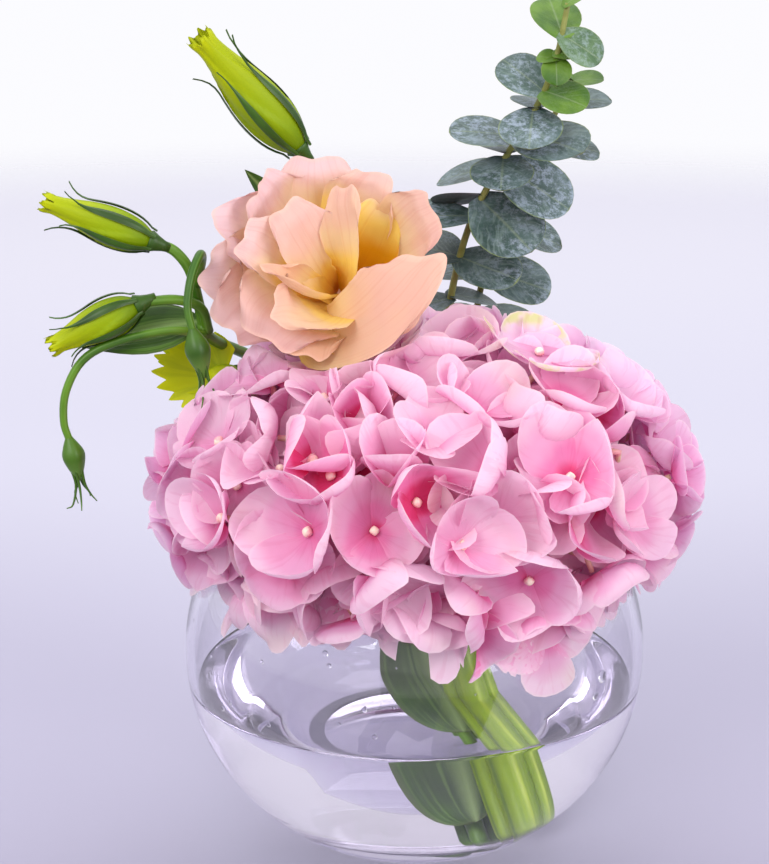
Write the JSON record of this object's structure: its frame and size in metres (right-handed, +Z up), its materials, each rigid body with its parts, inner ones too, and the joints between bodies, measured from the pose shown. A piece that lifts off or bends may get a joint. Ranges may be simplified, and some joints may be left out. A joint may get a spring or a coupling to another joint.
{
  "type": "floral centerpiece",
  "caption": "Table centerpiece: a pink hydrangea head with a peach lisianthus, its buds and two eucalyptus sprigs, in a clear glass bubble bowl of water.",
  "frame": {"origin": "middle of the bowl's flat base, on the table", "axes": "+Z up; -Y is the arrangement's front, towards the viewer; +X is the viewer's right"},
  "size_m": [0.1972, 0.1631, 0.2513],
  "materials": {
    "clear_glass": "gloss",
    "water": "gloss",
    "pink_sepals": "matte",
    "peach_petals": "matte",
    "lime_buds": "satin",
    "green_stems": "satin",
    "bright_stem": "satin",
    "eucalyptus": "matte"
  },
  "bodies": {
    "root": {"glass_bowl": "clear_glass", "water": "water", "hydrangea_head": "pink_sepals", "hydrangea_stem": "bright_stem", "lisianthus_bloom": "peach_petals", "lisianthus_stems": "green_stems", "bud_top": "lime_buds", "bud_left": "lime_buds", "bud_low": "lime_buds", "bud_fringed": "lime_buds", "eucalyptus_left": "eucalyptus", "eucalyptus_right": "eucalyptus"}
  },
  "joints": []
}
